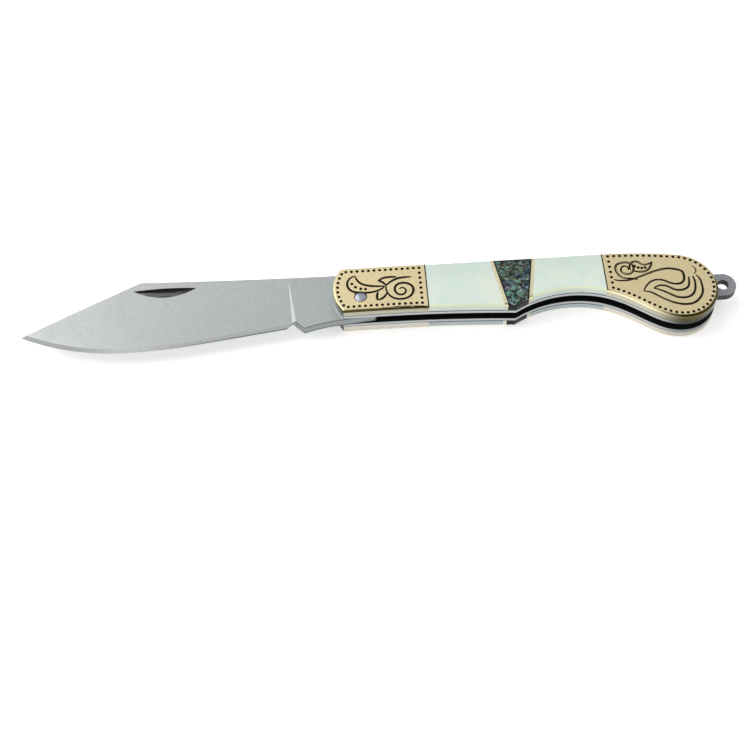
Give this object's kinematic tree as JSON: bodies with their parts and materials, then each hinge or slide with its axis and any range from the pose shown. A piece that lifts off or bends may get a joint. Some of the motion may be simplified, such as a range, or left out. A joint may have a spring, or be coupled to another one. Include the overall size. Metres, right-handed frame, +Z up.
{
  "type": "folding pocket knife",
  "caption": "Folding pocket knife with a clip blade on a slip joint, etched brass bolsters, pearl and abalone scales on steel liners, and a lug with a lanyard hole at the butt.",
  "frame": {"origin": "centre of the bounding box at its bottom, on the plane the knife lies on with the blade open", "axes": "+X from the blade's point to the butt, +Y from the cutting edge to the spine, +Z up out of the left face, the one with the nail nick"},
  "size_m": [0.1924, 0.024, 0.0101],
  "materials": {
    "blade_steel": "satin",
    "spring_steel": "matt",
    "liner_steel": "satin",
    "pin_steel": "polished",
    "brass": "satin, with dark etched lines",
    "pearl": "polished mother of pearl",
    "abalone": "polished abalone shell",
    "black_backing": "polished"
  },
  "bodies": {
    "handle": {"pivot_pin": "pin_steel", "rear_pin": "brass", "spring_pin": "pin_steel", "back_spring": "spring_steel", "tail_block": "spring_steel", "left_liner": "liner_steel", "left_front_bolster": "brass", "left_front_pearl_scale": "pearl", "left_front_spacer": "brass", "left_inlay_backing": "black_backing", "left_abalone_inlay": "abalone", "left_rear_spacer": "brass", "left_rear_pearl_scale": "pearl", "left_rear_bolster": "brass", "right_liner": "liner_steel", "right_front_bolster": "brass", "right_front_pearl_scale": "pearl", "right_front_spacer": "brass", "right_inlay_backing": "black_backing", "right_abalone_inlay": "abalone", "right_rear_spacer": "brass", "right_rear_pearl_scale": "pearl", "right_rear_bolster": "brass"},
    "blade": {"blade": "blade_steel"}
  },
  "joints": [
    {"name": "blade_fold", "type": "hinge", "parent": "handle", "child": "blade", "pos_m": [-0.00535, 0.00065, 0.00505], "axis": [0, 0, 1], "range_deg": [0, 175], "deforming": ["back_spring"]}
  ]
}
